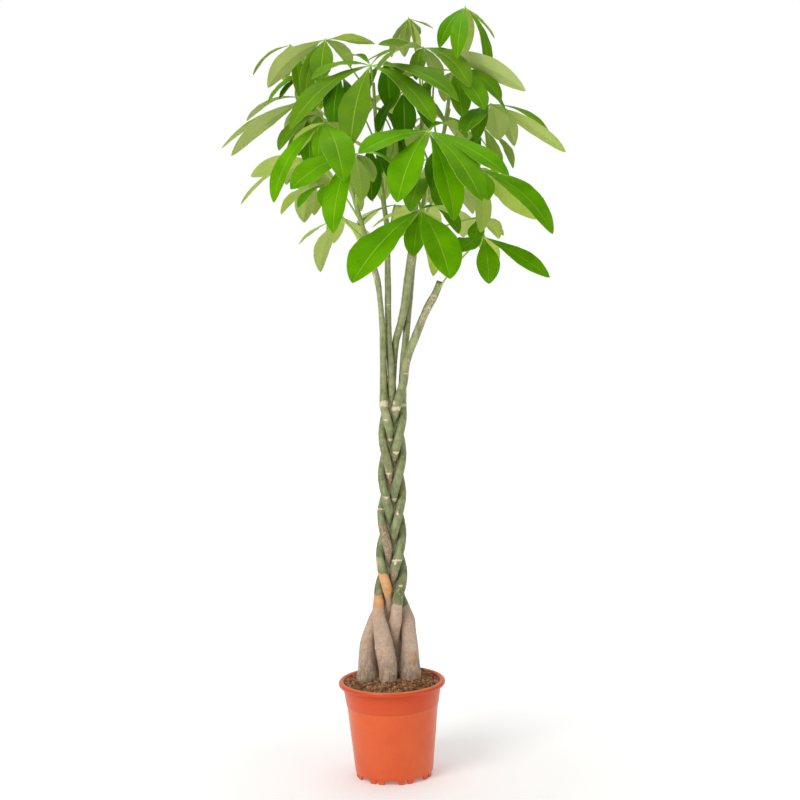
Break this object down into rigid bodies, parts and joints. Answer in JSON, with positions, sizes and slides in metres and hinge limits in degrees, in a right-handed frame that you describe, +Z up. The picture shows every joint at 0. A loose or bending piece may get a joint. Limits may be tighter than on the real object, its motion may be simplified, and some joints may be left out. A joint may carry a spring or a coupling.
{
  "type": "potted money tree",
  "caption": "Tall houseplant with a braided trunk of slim stems and a crown of hand-shaped leaves, standing in a round plastic nursery pot filled with soil.",
  "frame": {"origin": "on the surface the pot stands on, under the middle of the whole plant; the pot's own axis stands at x -0.032 m, y 0", "axes": "+Z up, the plant's side that is seen first faces -Y, +X to its right"},
  "size_m": [0.746, 0.6971, 1.7059],
  "materials": {
    "pot": "satin",
    "soil": "matte",
    "bark": "matte",
    "leaf": "satin"
  },
  "bodies": {
    "root": {"pot": "pot", "soil": "soil", "stem_1": "bark", "stem_2": "bark", "stem_3": "bark", "stem_4": "bark", "stem_5": "bark", "leaf_01": "leaf", "leaf_02": "leaf", "leaf_03": "leaf", "leaf_04": "leaf", "leaf_05": "leaf", "leaf_06": "leaf", "leaf_07": "leaf", "leaf_08": "leaf", "leaf_09": "leaf", "leaf_10": "leaf", "leaf_11": "leaf", "leaf_12": "leaf", "leaf_13": "leaf", "leaf_14": "leaf", "leaf_15": "leaf", "leaf_16": "leaf", "leaf_17": "leaf", "leaf_18": "leaf", "leaf_19": "leaf", "leaf_20": "leaf", "leaf_21": "leaf", "leaf_22": "leaf", "leaf_23": "leaf", "leaf_24": "leaf", "leaf_25": "leaf", "leaf_26": "leaf", "leaf_27": "leaf", "leaf_28": "leaf", "leaf_29": "leaf", "leaf_30": "leaf", "leaf_31": "leaf", "leaf_32": "leaf", "leaf_33": "leaf", "leaf_34": "leaf", "leaf_35": "leaf", "leaf_36": "leaf", "leaf_37": "leaf", "leaf_38": "leaf", "leaf_39": "leaf", "leaf_40": "leaf", "leaf_41": "leaf"}
  },
  "joints": []
}
